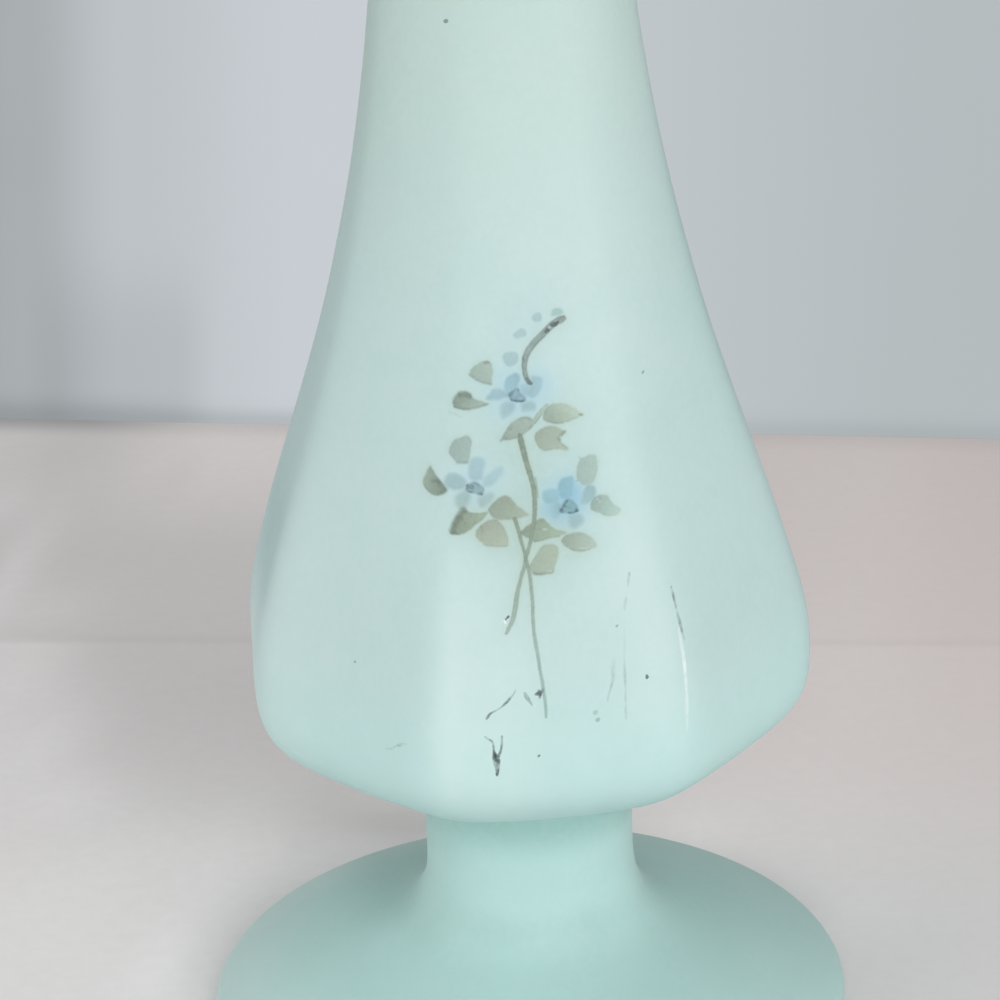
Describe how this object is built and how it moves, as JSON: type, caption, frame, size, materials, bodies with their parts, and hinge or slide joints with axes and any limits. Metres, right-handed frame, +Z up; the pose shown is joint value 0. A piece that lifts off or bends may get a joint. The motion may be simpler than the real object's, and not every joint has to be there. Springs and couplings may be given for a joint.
{
  "type": "bud vase",
  "caption": "Footed bud vase of pale aqua satin glass with a soft-panelled bulbous body, a long neck flaring to a lip, and a small painted sprig of blue flowers.",
  "frame": {"origin": "middle of the foot's underside, on the table", "axes": "+Z up along the vase's axis; the painted panel faces -Y; +X to the right as seen from the painted side"},
  "size_m": [0.08, 0.08, 0.2],
  "materials": {
    "satin_glass_body": "satin, cloudy, translucent pale aqua",
    "satin_glass_foot": "satin, cloudy, deeper aqua where the glass is thick",
    "enamel_leaf": "thin matt fired enamel, grey-olive",
    "enamel_stem": "thin matt fired enamel, taupe",
    "enamel_petal": "thin matt fired enamel, pale blue",
    "enamel_centre": "stippled fired enamel, grey-blue"
  },
  "bodies": {
    "root": {"body": "satin_glass_body", "foot": "satin_glass_foot", "stem_main": "enamel_stem", "stem_side": "enamel_stem", "stem_tip": "enamel_stem", "leaf_01": "enamel_leaf", "leaf_02": "enamel_leaf", "leaf_03": "enamel_leaf", "leaf_04": "enamel_leaf", "leaf_05": "enamel_leaf", "leaf_06": "enamel_leaf", "leaf_07": "enamel_leaf", "leaf_08": "enamel_leaf", "leaf_09": "enamel_leaf", "leaf_10": "enamel_leaf", "leaf_11": "enamel_leaf", "leaf_12": "enamel_leaf", "leaf_13": "enamel_leaf", "leaf_14": "enamel_leaf", "leaf_15": "enamel_leaf", "flower_upper_petals": "enamel_petal", "flower_upper_centre": "enamel_centre", "flower_left_petals": "enamel_petal", "flower_left_centre": "enamel_centre", "flower_right_petals": "enamel_petal", "flower_right_centre": "enamel_centre", "bud_1": "enamel_petal", "bud_2": "enamel_petal", "bud_3": "enamel_petal", "bud_4": "enamel_petal"}
  },
  "joints": []
}
